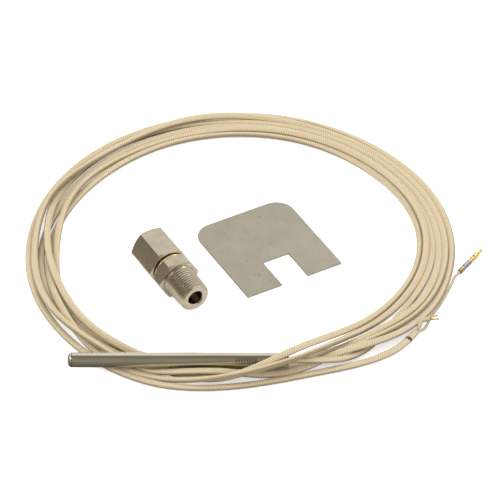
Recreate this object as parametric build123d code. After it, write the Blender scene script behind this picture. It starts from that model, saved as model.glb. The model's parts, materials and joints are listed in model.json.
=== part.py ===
from build123d import *
import os
from math import atan2, ceil, cos, degrees, floor, hypot, pi, radians, sin

import numpy as np

# A tube-and-wire thermocouple kit laid out on a flat surface: a straight metal probe, its coiled
# glass-braided lead with two crimped contacts, a loose compression fitting and a loose slotted plate.
# Millimetres, +Z up.  The layout is drawn about the middle of the coil and moved at the end, so that
# the origin is the bottom centre of the whole kit's box.

# ---------------------------------------------------------------- driving dimensions
# probe: a 3/16 in tube, 2 3/4 in long, lying along +X on top of the coil
PROBE_DIAMETER = 4.76
PROBE_LENGTH = 69.85
PROBE_BORE = 3.76
PROBE_TIP = (-54.5, -59.7, 4.75)
DOME_LENGTH = 1.4
PLUG_SPIGOT_LENGTH = 2.0
SLIP = 0.02                      # radial clearance of the pieces that slip into the probe tube
CRIMP_START = 53.2
CRIMP_GROOVES = 8
CRIMP_PITCH = 0.85
CRIMP_DEPTH = 0.14
CRIMP_HALF_WIDTH = 0.25

# inside the probe, distances from the tip
JUNCTION_AT = 5.2
JUNCTION_DIAMETER = 1.4
BEAD_START = 7.6
BEAD_LENGTH = 8.0
BEAD_COUNT = 5
BEAD_GAP = 0.06
BEAD_HOLE = 0.66
BEAD_HOLE_OFFSET = 0.7
CEMENT_HOLE = 1.0
SLEEVE_START = 49.0
JACKET_START = 50.5
BUSHING_START = 51.5
BUSHING_LENGTH = 11.0
SEAL_LENGTH = 6.5

# lead: two sleeved conductors side by side in one braided jacket
JACKET_DIAMETER = 2.0
JACKET_BORE = 1.78
WIRE_DIAMETER = 0.51             # 24 gauge
SLEEVE_DIAMETER = 0.84
SLEEVE_BORE = 0.57
WIRE_OFFSET = 0.45               # each conductor's distance from the lead's centre
WRAP_LENGTH = 1.3
WRAP_DIAMETER = 2.2
WRAP_SETBACK = 0.1               # from the lead's last bend before its mouth

# coil: each turn's distance from the centre, first turn first, at places round the coil
# (0 degrees is +X, 270 is the front, by the probe)
TURN_RADII = {
    -45: (60.9, 55.4, 58.0, 63.0, 65.0, 67.0),
    0: (62.5, 58.9, 60.6, 64.5, 66.4, 68.4),
    45: (61.9, 58.7, 59.9, 63.8, 66.0, 68.0),
    90: (63.2, 59.5, 61.3, 65.2, 67.2, 69.0),
    135: (62.8, 59.2, 60.8, 66.8, 64.8, 68.6),
    180: (64.7, 61.2, 60.2, 62.8, 66.6, 68.6),
    225: (65.8, 67.4, 64.4, 63.2, 69.1, 70.9),
    252: (66.6, 68.3, 61.4, 63.2, 65.8, 70.0),
    264: (65.5, 67.3, 60.6, 62.3, 64.0, 68.6),
    274: (64.2, 66.1, 60.4, 62.0, 63.6, 67.2),
    284: (62.8, 64.6, 60.0, 62.0, 64.0, 66.0),
    294: (59.0, 61.0, 59.6, 61.4, 63.2, 64.8),
}
TURNS = 6
STATION_STEP = 5.0               # degrees between the stations of the lead's path
FIRST_STATION = -45.0
LAST_STATION = 360.0 * TURNS - 40.0
LAST_RADII = ((-17, 68.0), (-12, 70.0), (-5, 70.6), (0, 70.3))   # (degrees from it, radius)
MOUTH = (-37.0, 70.0)            # the jacket's mouth, just past the last station
STRAIGHT_EXIT = 6.0              # the lead leaves the probe straight for this far
CROSSING_TURNS = (1, 2)          # turns that cross over the probe's rear end
CROSSING_ANGLE = -77.0
CROSSING_HALF_WIDTH = 14.0
CROSSING_RISE = 7.5
LEAD_GAP = 0.12                  # kept between turns side by side
CROSSING_GAP = 0.25              # kept besides between turns that cross or climb over each other
CROSSING_SLOPE = 0.12            # how fast they part where the whole of it is kept
PROBE_GAP = 0.45                 # kept between the turns and the probe
PAST_PROBE = 4.0                 # and for this far past its rear end
SETTLING_ROUNDS = 4000
SAG = 0.006                      # fall per round, at the start

# contacts on the two legs of the lead (x, y, z), and where the legs run (angle, radius, height)
PIN_ROOT = (70.9, -12.2, 0.88)
PIN_HEADING = 56.0               # degrees from +X
SOCKET_ROOT = (58.3, -38.3, 3.0)
SOCKET_HEADING = 14.0
PIN_LEG = ((-34.5, 71.0, 0.75), (-31.0, 70.3, 0.52), (-24.5, 69.97, 0.5), (-18.0, 70.2, 0.5),
           (-12.2, 70.7, 0.72))
SOCKET_LEG = ((-35.3, 69.85, 1.95),)
LEG_STEP = 0.8
WIRE_IN_CONTACT = 1.9
SLEEVE_IN_CONTACT = 0.9
PIN_BARREL_DIAMETER = 1.7
PIN_BARREL_LENGTH = 6.2
PIN_BODY_LENGTH = 4.6
PIN_DIAMETER = 1.06
PIN_LENGTH = 2.7
SOCKET_BARREL_DIAMETER = 1.3
SOCKET_BARREL_LENGTH = 2.2
SOCKET_MOUTH_DIAMETER = 1.6
TINE_LENGTH = 2.9
TINE_SLOT = 0.55
TINE_SPLAY = 7.0

# compression fitting, distances from the nut's rear face along its axis
FITTING_REAR = (-29.37, -5.0)
FITTING_HEADING = -60.5
HEX_ACROSS_FLATS = 12.7
NUT_LENGTH = 13.6
HEX_CHAMFER = 0.9
FITTING_BORE = 4.96
NOSE_AT = 6.5
NOSE_THREAD_DIAMETER = 9.3       # crests of the 3/8-24 thread under the nut
NUT_BORE = 9.38
NUT_THREAD_PITCH = 25.4 / 24
NUT_THREAD_END = 13.3
COLLAR_AT = 14.05
COLLAR_DIAMETER = 11.7
BODY_HEX_AT = 15.1
PIPE_THREAD_AT = 20.1
FITTING_LENGTH = 30.8
PIPE_THREAD_PITCH = 25.4 / 27    # 1/8-27 tapered pipe thread
PIPE_THREAD_END_DIAMETER = 9.95
PIPE_TAPER = 1 / 16

# slotted plate, measured along its own sides
PLATE_CENTRE = (8.3, 0.8)
PLATE_HEADING = 29.3
PLATE_WIDTH = 34.9
PLATE_DEPTH = 38.1
PLATE_THICKNESS = 0.7
PLATE_CORNER_RADIUS = 6.35
SLOT_WIDTH = 9.5
SLOT_DEPTH = 12.7


# ---------------------------------------------------------------- helpers
def turned(profile):
    """A solid of revolution about X from (distance along X, radius) points."""
    points = [(x, 0, r) for x, r in profile]
    return revolve(make_face(Polyline(*points, close=True)), Axis.X)


def rod(diameter, start, end, y=0.0):
    """A cylinder along X."""
    return Pos(start, y, 0) * Rot(0, 90, 0) * Cylinder(
        diameter / 2, end - start, align=(Align.CENTER, Align.CENTER, Align.MIN))


def probe_place():
    return Pos(*PROBE_TIP)


def probe_point(distance, offset=0.0):
    x, y, z = PROBE_TIP
    return np.array([x + distance, y + offset, z])


def directions(path):
    """Unit tangents of a path, and the level unit vectors to its left."""
    tangent = np.gradient(path, axis=0)
    tangent /= np.linalg.norm(tangent, axis=1)[:, None]
    left = np.cross([0.0, 0.0, 1.0], tangent)
    left /= np.linalg.norm(left, axis=1)[:, None]
    return tangent, left


def rings(path, radius):
    """Circles square to a path, one at each of its points."""
    tangent, left = directions(path)
    return [
        (Plane(origin=tuple(p), x_dir=tuple(n), z_dir=tuple(t)) * Circle(radius)).face().outer_wire()
        for p, t, n in zip(path, tangent, left)
    ]


def round_bar(path, diameter):
    return Solid.make_loft(rings(path, diameter / 2), ruled=True)


def tube(path, diameter, bore):
    """A hollow bar: the outer and inner walls are sewn to a ring at each end."""
    outer = round_bar(path, diameter).faces()
    inner = round_bar(path, bore).faces()
    walls = [f for f in outer + inner if f.geom_type != GeomType.PLANE]
    outer_ends = [f for f in outer if f.geom_type == GeomType.PLANE]
    inner_ends = [f for f in inner if f.geom_type == GeomType.PLANE]
    ends = []
    for cap in outer_ends:
        hole = min(inner_ends, key=lambda f: (f.center() - cap.center()).length)
        ends.append(Face(cap.outer_wire(), [hole.outer_wire()]))
    return Solid(Shell(Face.sew_faces(walls + ends)[0]))


def smooth_curve(at, known_at, known):
    """Cubic interpolation with no overshoot of the slopes between known values."""
    slope = np.gradient(known, known_at)
    i = np.clip(np.searchsorted(known_at, at, side="right") - 1, 0, len(known_at) - 2)
    span = known_at[i + 1] - known_at[i]
    u = (at - known_at[i]) / span
    return ((1 + 2 * u) * (1 - u) ** 2 * known[i] + u * (1 - u) ** 2 * span * slope[i]
            + u * u * (3 - 2 * u) * known[i + 1] + u * u * (u - 1) * span * slope[i + 1])


def v_groove(radius_at_start, pitch, start, end, depth, taper_angle=0.0):
    """The helical V-shaped cutter of an outside thread about X, from start to end."""
    height = end - start
    helix = Helix(pitch, height, radius_at_start, cone_angle=taper_angle)
    half = 0.46 * pitch
    flank = Polyline((0.25 * depth, -half), (-depth, 0), (0.25 * depth, half), close=True)
    profile = Plane(origin=helix @ 0, x_dir=(1, 0, 0), z_dir=(0, 1, 0)) * make_face(flank)
    cutter = sweep(profile, path=helix, is_frenet=True)
    return Pos(start, 0, 0) * Rot(0, 90, 0) * cutter


# ---------------------------------------------------------------- the lead's path
def nearest_passing(at, slope, one, other, station_length):
    """How two turns pass each other near a station: the vector between them at their nearest, their
    true distance there, allowing for turns that cross or climb together, and how fast they part."""
    apart = at[other] - at[one]
    relative = slope[other] - slope[one]
    shift = -(apart * relative).sum(axis=1) / ((relative**2).sum(axis=1) + 1e-6)
    shift = np.clip(shift, -station_length / 2, station_length / 2)
    closest = apart + relative * shift[:, None]
    climb = (slope[other] + slope[one]) / 2
    along = (closest * climb).sum(axis=1) ** 2 / (1 + (climb**2).sum(axis=1))
    parting = np.sqrt((relative**2).sum(axis=1))
    return closest, np.sqrt((closest**2).sum(axis=1) - along) + 1e-9, parting


def lead_path():
    """Centre points of the coiled lead, from the probe's rear end to the jacket's mouth.

    Each turn follows its lane and then settles: turns that meet push each other apart, the lead's
    stiffness spreads the push along it, its weight pulls it down, and the surface and the probe
    hold it up.
    """
    tip_x, probe_y, probe_z = PROBE_TIP
    exit_x = tip_x + PROBE_LENGTH
    jacket_radius = JACKET_DIAMETER / 2

    turn_angles, turn_radii = [], []
    for turn in range(TURNS):
        for place, radii in TURN_RADII.items():
            turn_angles.append(360 * turn + place)
            turn_radii.append(radii[turn])
    leaving = [(exit_x, probe_y), (exit_x + STRAIGHT_EXIT, probe_y)]
    known_angles = ([degrees(atan2(y, x)) for x, y in leaving] + turn_angles
                    + [LAST_STATION + past for past, _ in LAST_RADII])
    known_radii = ([hypot(x, y) for x, y in leaving] + turn_radii
                   + [radius for _, radius in LAST_RADII])

    first = ceil(known_angles[0] / STATION_STEP)
    last = floor(LAST_STATION / STATION_STEP)
    angles = np.arange(first, last + 1) * STATION_STEP
    lane = smooth_curve(angles, np.array(known_angles), np.array(known_radii))
    turned_by = np.radians(angles)

    height = jacket_radius + 0.35 * (angles - FIRST_STATION) / 360
    for turn in CROSSING_TURNS:
        from_crossing = (angles - 360 * turn - CROSSING_ANGLE) / CROSSING_HALF_WIDTH
        height += CROSSING_RISE * np.exp(-from_crossing**2)
    at = np.stack([lane, height], axis=1)

    leaves_probe = angles < known_angles[1] + 3
    reaches_mouth = angles > LAST_STATION - 8
    at[leaves_probe, 0] = probe_y / np.sin(turned_by[leaves_probe])
    at[leaves_probe, 1] = probe_z
    at[reaches_mouth, 1] = WRAP_DIAMETER / 2
    held = leaves_probe | reaches_mouth
    held_at = at[held].copy()

    station_length = radians(STATION_STEP) * np.mean(TURN_RADII[0])
    per_turn = int(360 / STATION_STEP)
    passes = ceil(len(angles) / per_turn)
    stack = -np.ones((passes, per_turn), int)
    number = np.arange(len(angles))
    stack[number // per_turn, number % per_turn] = number
    neighbours = []
    for one in range(passes):
        for other in range(one + 1, passes):
            both = (stack[one] >= 0) & (stack[other] >= 0)
            neighbours.append((stack[one][both], stack[other][both]))

    for round_number in range(SETTLING_ROUNDS):
        calm = 1 - round_number / SETTLING_ROUNDS
        at[:, 0] += 0.02 * calm * (lane - at[:, 0])
        at[:, 1] -= SAG * calm
        bend = np.zeros_like(at)
        bend[1:-1] = (at[:-2] + at[2:]) / 2 - at[1:-1]
        change = np.zeros_like(at)
        change[1:-1] = (bend[:-2] + bend[2:]) / 2 - bend[1:-1]
        at -= (0.35 * calm + 0.02) * change
        for _ in range(2):
            push = np.zeros_like(at)
            slope = np.gradient(at, axis=0) / station_length
            for one, other in neighbours:
                closest, distance, parting = nearest_passing(at, slope, one, other, station_length)
                gap = LEAD_GAP + CROSSING_GAP * np.minimum(parting / CROSSING_SLOPE, 1)
                missing = np.maximum(JACKET_DIAMETER + gap - distance, 0)
                half_push = 0.5 * (missing / distance)[:, None] * closest
                push[one] -= half_push
                push[other] += half_push
            x, y = at[:, 0] * np.cos(turned_by), at[:, 0] * np.sin(turned_by)
            beside = (x > tip_x - 1) & (x < exit_x + PAST_PROBE) & (y < 0) & ~held
            from_axis = np.stack([y - probe_y, at[:, 1] - probe_z], axis=1)
            distance = np.hypot(from_axis[:, 0], from_axis[:, 1]) + 1e-9
            missing = PROBE_DIAMETER / 2 + jacket_radius + PROBE_GAP - distance
            missing = np.where(beside, np.maximum(missing, 0), 0)
            push[:, 0] += missing * from_axis[:, 0] / distance * np.sin(turned_by)
            push[:, 1] += missing * from_axis[:, 1] / distance
            at += push
            at[:, 1] = np.maximum(at[:, 1], jacket_radius)
        at[held] = held_at

    mouth_angle, mouth_radius = MOUTH
    turned_by = np.append(turned_by, radians(mouth_angle))
    at = np.vstack([at, [mouth_radius, at[-1, 1]]])
    x, y = at[:, 0] * np.cos(turned_by), at[:, 0] * np.sin(turned_by)
    return np.stack([x, y, at[:, 1]], axis=1)


def leg_path(start, leaving, bends, root, heading):
    """A leg's centre points from the jacket's mouth to its contact, and the contact's direction."""
    toward = np.array([cos(radians(heading)), sin(radians(heading)), 0.0])
    points = [start] + [(r * cos(radians(a)), r * sin(radians(a)), z) for a, r, z in bends] + [root]
    curve = Edge.make_spline([Vector(*p) for p in points], tangents=[Vector(*leaving), Vector(*toward)])
    count = max(ceil(curve.length / LEG_STEP), 4)
    along = np.array([tuple(curve @ (i / count)) for i in range(1, count + 1)])
    return along, toward


# ---------------------------------------------------------------- the probe
def make_probe_sheath():
    outside, inside = PROBE_DIAMETER / 2, PROBE_BORE / 2
    profile = [(DOME_LENGTH + SLIP, inside), (DOME_LENGTH + SLIP, outside)]
    for n in range(CRIMP_GROOVES):
        groove = CRIMP_START + CRIMP_PITCH * n
        profile += [(groove - CRIMP_HALF_WIDTH, outside), (groove, outside - CRIMP_DEPTH),
                    (groove + CRIMP_HALF_WIDTH, outside)]
    profile += [(PROBE_LENGTH - 0.15, outside), (PROBE_LENGTH, outside - 0.15), (PROBE_LENGTH, inside)]
    return turned(profile)


def make_tip_plug():
    """A welded end plug: a rounded nose flush with the tube and a spigot inside it."""
    outside = PROBE_DIAMETER / 2
    spigot = PROBE_BORE / 2 - SLIP
    nose = Edge.make_spline(
        [Vector(0, 0, 0), Vector(0.16, 0, 0.5 * outside), Vector(0.55, 0, 0.86 * outside),
         Vector(DOME_LENGTH, 0, outside)],
        tangents=[Vector(0, 0, 1), Vector(1, 0, 0)])
    end = DOME_LENGTH + PLUG_SPIGOT_LENGTH
    back = Polyline((DOME_LENGTH, 0, outside), (DOME_LENGTH, 0, spigot), (end - 0.2, 0, spigot),
                    (end, 0, spigot - 0.2), (end, 0, 0), (0, 0, 0))
    return revolve(make_face([nose] + back.edges()), Axis.X)


def make_hot_junction():
    return Pos(JUNCTION_AT, 0, 0) * Sphere(JUNCTION_DIAMETER / 2)


def make_tip_cement():
    """Cement that holds the junction in the tip, with room for the junction and both wires."""
    start = DOME_LENGTH + PLUG_SPIGOT_LENGTH + SLIP
    end = BEAD_START - BEAD_GAP
    block = rod(PROBE_BORE - 2 * SLIP, start, end)
    block -= Pos(JUNCTION_AT, 0, 0) * Sphere(JUNCTION_DIAMETER / 2 + SLIP)
    for side in (1, -1):
        block -= rod(CEMENT_HOLE, JUNCTION_AT, end + 1, side * BEAD_HOLE_OFFSET)
    return block


def make_ceramic_beads():
    """Twin-bore beads that keep the two wires apart, one solid each."""
    beads = []
    for n in range(BEAD_COUNT):
        start = BEAD_START + n * (BEAD_LENGTH + BEAD_GAP)
        bead = rod(PROBE_BORE - 4 * SLIP, start, start + BEAD_LENGTH)
        bead = chamfer(bead.edges(), 0.15)
        for side in (1, -1):
            bead -= rod(BEAD_HOLE, start - 1, start + BEAD_LENGTH + 1, side * BEAD_HOLE_OFFSET)
        beads.append(bead)
    return Compound(children=[Solid(b.solid().wrapped) for b in beads])


def make_lead_bushing():
    """A glass-fibre bush that fills the tube round the lead, under the rolled crimp."""
    end = BUSHING_START + BUSHING_LENGTH
    return rod(PROBE_BORE - 2 * SLIP, BUSHING_START, end) - rod(
        JACKET_DIAMETER + 2 * SLIP, BUSHING_START - 1, end + 1)


def make_rear_seal():
    start = PROBE_LENGTH - SEAL_LENGTH
    return rod(PROBE_BORE - 2 * SLIP, start, PROBE_LENGTH) - rod(
        JACKET_DIAMETER + 2 * SLIP, start - 1, PROBE_LENGTH + 1)


# ---------------------------------------------------------------- the contacts
def crimp_dents(barrel_diameter, at):
    """Four small round dents of a crimping tool round a barrel."""
    dents = Part()
    for n in range(4):
        dents += Rot(45 + 90 * n, 0, 0) * Pos(at, 0, barrel_diameter / 2 + 0.1) * Sphere(0.22)
    return dents


def make_pin_contact():
    """A turned crimp pin: sleeve cup, wire barrel with an inspection hole, shoulder and pin."""
    barrel, pin = PIN_BARREL_DIAMETER / 2, PIN_DIAMETER / 2
    body_end = PIN_BARREL_LENGTH + PIN_BODY_LENGTH
    end = body_end + PIN_LENGTH
    cup, wire = SLEEVE_DIAMETER / 2 + SLIP, WIRE_DIAMETER / 2 + SLIP
    contact = turned([
        (SLEEVE_IN_CONTACT + 0.1, wire), (SLEEVE_IN_CONTACT + 0.1, cup), (0, cup), (0, barrel - 0.08),
        (0.08, barrel), (PIN_BARREL_LENGTH, barrel), (PIN_BARREL_LENGTH + 0.25, barrel - 0.16),
        (PIN_BARREL_LENGTH + 0.9, barrel - 0.16), (PIN_BARREL_LENGTH + 1.1, barrel - 0.02),
        (body_end - 0.5, barrel - 0.02), (body_end, pin + 0.12), (body_end, pin),
        (end - 0.45, pin), (end - 0.12, 0.6 * pin), (end, 0.25 * pin), (end, 0),
        (WIRE_IN_CONTACT + 1.4, 0), (WIRE_IN_CONTACT + 1.4, wire)])
    contact -= Pos(WIRE_IN_CONTACT + 0.7, 0, barrel) * Cylinder(0.26, 2 * barrel)
    return contact - crimp_dents(PIN_BARREL_DIAMETER, 2.2)


def make_socket_contact():
    """A crimp socket whose slotted mouth leaves two tines, sprung slightly apart."""
    barrel, mouth = SOCKET_BARREL_DIAMETER / 2, SOCKET_MOUTH_DIAMETER / 2
    cup, wire = SLEEVE_DIAMETER / 2 + SLIP, WIRE_DIAMETER / 2 + SLIP
    root = SOCKET_BARREL_LENGTH + 0.5
    contact = turned([
        (SLEEVE_IN_CONTACT + 0.1, wire), (SLEEVE_IN_CONTACT + 0.1, cup), (0, cup), (0, barrel - 0.08),
        (0.08, barrel), (SOCKET_BARREL_LENGTH, barrel), (SOCKET_BARREL_LENGTH + 0.2, 0.85 * barrel),
        (root, 0.85 * barrel), (root, 0), (WIRE_IN_CONTACT + 0.1, 0), (WIRE_IN_CONTACT + 0.1, wire)])
    for side in (1, -1):
        tine = turned([(0, 0.3), (0, mouth - 0.1), (TINE_LENGTH - 0.15, mouth),
                       (TINE_LENGTH, mouth - 0.12), (TINE_LENGTH, 0.52), (0.6, 0.45)])
        tine &= Pos(0, side * (TINE_SLOT / 2 + 1), 0) * Box(
            2 * TINE_LENGTH + 2, 2, 4)
        contact += Pos(root - 0.35, 0, 0) * Rot(0, 0, side * TINE_SPLAY) * tine
    return contact - crimp_dents(SOCKET_BARREL_DIAMETER, 1.5)


# ---------------------------------------------------------------- the compression fitting
def hexagon(start, end):
    """A hexagonal bar along X with a flat underneath and both ends chamfered."""
    outline = Plane.YZ * RegularPolygon(HEX_ACROSS_FLATS / 2, 6, major_radius=False)
    if outline.bounding_box().size.Z > HEX_ACROSS_FLATS + 0.1:
        outline = Plane.YZ * Rot(0, 0, 30) * RegularPolygon(HEX_ACROSS_FLATS / 2, 6, major_radius=False)
    bar = Pos(start, 0, 0) * extrude(outline, end - start, dir=(1, 0, 0))
    flats, corners = HEX_ACROSS_FLATS / 2, HEX_ACROSS_FLATS / 2 / cos(radians(30))
    face_radius = flats - 0.15
    rise = (corners + 0.05 - face_radius) * HEX_CHAMFER / (corners - face_radius)
    return bar & turned([
        (start, 0), (start, face_radius), (start + rise, corners + 0.05), (end - rise, corners + 0.05),
        (end, face_radius), (end, 0)])


def make_compression_nut():
    """The nut: a hexagon with a tube hole, a ferrule seat and a bore for the nose thread."""
    hole, thread = FITTING_BORE / 2, NUT_BORE / 2
    seat = 3.85
    cavity = turned([
        (-1, 0), (-1, hole + 0.35), (0, hole + 0.35), (0.35, hole), (5.55 - (seat - hole), hole),
        (5.55, seat), (6.0, seat), (6.1, thread), (NUT_LENGTH - 0.5, thread), (NUT_LENGTH, thread + 0.5),
        (NUT_LENGTH + 1, thread + 0.5), (NUT_LENGTH + 1, 0)])
    return hexagon(0, NUT_LENGTH) - cavity


def make_fitting_body():
    """The body: threaded nose, collar, hexagon and tapered pipe thread round one through bore."""
    nose, bore = NOSE_THREAD_DIAMETER / 2, FITTING_BORE / 2
    seat_mouth, seat_end = 3.8, 9.6
    pipe_end = PIPE_THREAD_END_DIAMETER / 2
    pipe_root = pipe_end + PIPE_TAPER / 2 * (FITTING_LENGTH - PIPE_THREAD_AT)
    outside = turned([
        (NOSE_AT, 0), (NOSE_AT, nose - 0.6), (NOSE_AT + 0.6, nose), (NUT_THREAD_END, nose),
        (NUT_THREAD_END + 0.4, nose - 0.6), (COLLAR_AT, nose - 0.6), (COLLAR_AT, COLLAR_DIAMETER / 2 - 0.2),
        (COLLAR_AT + 0.2, COLLAR_DIAMETER / 2), (BODY_HEX_AT + 0.5, COLLAR_DIAMETER / 2),
        (BODY_HEX_AT + 0.5, 0)])
    pipe = turned([
        (PIPE_THREAD_AT - 0.5, 0), (PIPE_THREAD_AT - 0.5, pipe_root), (PIPE_THREAD_AT, pipe_root),
        (FITTING_LENGTH - 0.75, pipe_end), (FITTING_LENGTH, pipe_end - 0.75), (FITTING_LENGTH, 0)])
    nose_groove = v_groove(nose, NUT_THREAD_PITCH, NOSE_AT - 0.6, NUT_THREAD_END, 0.5)
    pipe_groove = v_groove(pipe_root, PIPE_THREAD_PITCH, PIPE_THREAD_AT + 0.55, FITTING_LENGTH + 0.6,
                           0.56, -degrees(PIPE_TAPER / 2))
    passage = turned([
        (NOSE_AT - 1, 0), (NOSE_AT - 1, seat_mouth), (NOSE_AT, seat_mouth), (seat_end, bore),
        (FITTING_LENGTH - 0.35, bore), (FITTING_LENGTH, bore + 0.35), (FITTING_LENGTH + 1, bore + 0.35),
        (FITTING_LENGTH + 1, 0)])
    threaded = (outside - nose_groove) + (pipe - pipe_groove)
    return (threaded + hexagon(BODY_HEX_AT, PIPE_THREAD_AT)) - passage


def make_ferrule():
    """A double-tapered ring that the nut presses between the body's seat and the tube."""
    bore = PROBE_DIAMETER / 2 + 0.05
    return turned([(5.1, bore), (5.1, 3.2), (5.6, 3.68), (6.1, 3.68), (8.3, 2.72), (8.3, bore)])


def fitting_place():
    x, y = FITTING_REAR
    return Pos(x, y, HEX_ACROSS_FLATS / 2) * Rot(0, 0, FITTING_HEADING)


# ---------------------------------------------------------------- the plate
def make_mounting_plate():
    """A thin plate with two rounded rear corners and a slot in the middle of its front edge."""
    half_width, half_depth = PLATE_WIDTH / 2, PLATE_DEPTH / 2
    blank = Rectangle(PLATE_WIDTH, PLATE_DEPTH)
    rear = blank.vertices().filter_by(lambda v: v.Y > 0)
    blank = fillet(rear, PLATE_CORNER_RADIUS)
    blank -= Pos(0, SLOT_DEPTH / 2 - half_depth) * Rectangle(SLOT_WIDTH, SLOT_DEPTH)
    x, y = PLATE_CENTRE
    plate = extrude(blank, PLATE_THICKNESS)
    edges = plate.edges().filter_by(lambda e: abs(e.center().Z - PLATE_THICKNESS) < 1e-6)
    plate = chamfer(edges, 0.08)
    return Pos(x, y, 0) * Rot(0, 0, PLATE_HEADING) * plate


# ---------------------------------------------------------------- the whole kit
def make_lead():
    """The jacket, both sleeves and both wires, each one piece from the probe to its own end."""
    coil = lead_path()
    tangent, left = directions(coil)
    jacket = np.vstack([probe_point(JACKET_START), coil])
    nodes = {"lead_jacket": tube(jacket, JACKET_DIAMETER, JACKET_BORE)}
    ends = {
        "positive": (1, SOCKET_LEG, SOCKET_ROOT, SOCKET_HEADING),
        "negative": (-1, PIN_LEG, PIN_ROOT, PIN_HEADING),
    }
    for name, (side, bends, root, heading) in ends.items():
        offset = side * WIRE_OFFSET
        in_lead = coil + offset * left
        leg, toward = leg_path(in_lead[-1], tangent[-1], bends, root, heading)
        start_of_sleeve = probe_point(SLEEVE_START, offset)
        sleeve_end = leg[-1] + SLEEVE_IN_CONTACT * toward
        wire_end = leg[-1] + WIRE_IN_CONTACT * toward
        sleeve = np.vstack([start_of_sleeve, in_lead, leg, sleeve_end])
        in_beads = BEAD_START + BEAD_COUNT * (BEAD_LENGTH + BEAD_GAP) - BEAD_GAP
        wire = np.vstack([
            probe_point(JUNCTION_AT + 0.45, side * BEAD_HOLE_OFFSET * 0.8),
            probe_point(JUNCTION_AT + 1.2, side * BEAD_HOLE_OFFSET),
            probe_point(in_beads, side * BEAD_HOLE_OFFSET),
            sleeve[0], in_lead, leg, sleeve_end, wire_end])
        nodes[name + "_sleeve"] = tube(sleeve, SLEEVE_DIAMETER, SLEEVE_BORE)
        nodes[name + "_wire"] = round_bar(wire, WIRE_DIAMETER)
    toward_mouth = (coil[-2] - coil[-3]) / np.linalg.norm(coil[-2] - coil[-3])
    wrap_end = coil[-2] - WRAP_SETBACK * toward_mouth
    wrap = np.array([wrap_end - WRAP_LENGTH * toward_mouth, wrap_end])
    nodes["mouth_wrap"] = tube(wrap, WRAP_DIAMETER, JACKET_DIAMETER + 2 * SLIP)
    return nodes


def make_nodes():
    nodes = make_lead()
    probe_nodes = {
        "probe_sheath": make_probe_sheath(),
        "tip_plug": make_tip_plug(),
        "hot_junction": make_hot_junction(),
        "tip_cement": make_tip_cement(),
        "ceramic_beads": make_ceramic_beads(),
        "lead_bushing": make_lead_bushing(),
        "rear_seal": make_rear_seal(),
    }
    for name, shape in probe_nodes.items():
        nodes[name] = probe_place() * shape
    for name, shape, root, heading in (
        ("pin_contact", make_pin_contact(), PIN_ROOT, PIN_HEADING),
        ("socket_contact", make_socket_contact(), SOCKET_ROOT, SOCKET_HEADING),
    ):
        nodes[name] = Pos(*root) * Rot(0, 0, heading) * shape
    for name, shape in (
        ("compression_nut", make_compression_nut()),
        ("fitting_body", make_fitting_body()),
        ("ferrule", make_ferrule()),
    ):
        nodes[name] = fitting_place() * shape
    nodes["mounting_plate"] = make_mounting_plate()
    return nodes


def main():
    nodes = make_nodes()
    boxes = [shape.bounding_box() for shape in nodes.values()]
    middle = [(min(getattr(b.min, c) for b in boxes) + max(getattr(b.max, c) for b in boxes)) / 2
              for c in "XY"]
    lowest = min(b.min.Z for b in boxes)
    os.makedirs("parts", exist_ok=True)
    for name, shape in nodes.items():
        export_step(Pos(-middle[0], -middle[1], -lowest) * shape, f"parts/{name}.step")


main()
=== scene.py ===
"""The looks of the thermocouple kit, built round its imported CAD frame.

Shapes are worked out in millimetres in the frame's own axes and turned into metres at the end.
The probe lies along +X; the camera looks from the front, which is -Y, and from above.
"""
import json
import math

import bpy
import numpy as np
from mathutils import Matrix, Vector


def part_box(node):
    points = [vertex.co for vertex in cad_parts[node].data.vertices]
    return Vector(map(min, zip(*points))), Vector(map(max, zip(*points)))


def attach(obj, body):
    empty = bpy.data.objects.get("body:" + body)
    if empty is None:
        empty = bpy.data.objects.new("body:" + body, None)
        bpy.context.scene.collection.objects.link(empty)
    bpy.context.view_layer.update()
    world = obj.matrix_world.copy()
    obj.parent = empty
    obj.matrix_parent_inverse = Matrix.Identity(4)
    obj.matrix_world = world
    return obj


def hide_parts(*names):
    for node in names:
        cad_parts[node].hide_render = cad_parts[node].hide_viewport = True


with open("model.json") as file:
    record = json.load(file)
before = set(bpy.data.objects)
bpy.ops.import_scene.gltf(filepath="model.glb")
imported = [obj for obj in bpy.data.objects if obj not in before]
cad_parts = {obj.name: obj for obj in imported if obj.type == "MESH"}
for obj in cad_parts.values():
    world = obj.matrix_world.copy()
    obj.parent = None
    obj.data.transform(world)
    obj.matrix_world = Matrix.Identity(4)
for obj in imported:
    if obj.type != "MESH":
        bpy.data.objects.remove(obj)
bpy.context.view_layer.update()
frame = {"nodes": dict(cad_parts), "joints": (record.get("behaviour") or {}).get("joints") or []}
NODES = frame["nodes"]

# ---------------------------------------------------------------- driving dimensions, millimetres
# probe, distances from its tip
DOME_LENGTH = 1.4
SLIP = 0.02                      # between the tube and the plug's spigot
WALL = 0.5
JACKET_START = 50.5
SLEEVE_START = 49.0
CRIMP_START = 53.2
CRIMP_GROOVES = 8
CRIMP_PITCH = 0.85
CRIMP_DEPTH = 0.025
CRIMP_HALF_WIDTH = 0.25
CRIMP_SLANT = 0.16               # lean of the strokes of painted shade in the grooves, as a share of their height
STROKE_FOOT = (0.6, 1.0)         # heights over the probe's axis where the strokes fade in
STROKE_TOP = (1.9, 2.1)          # and out

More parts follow.
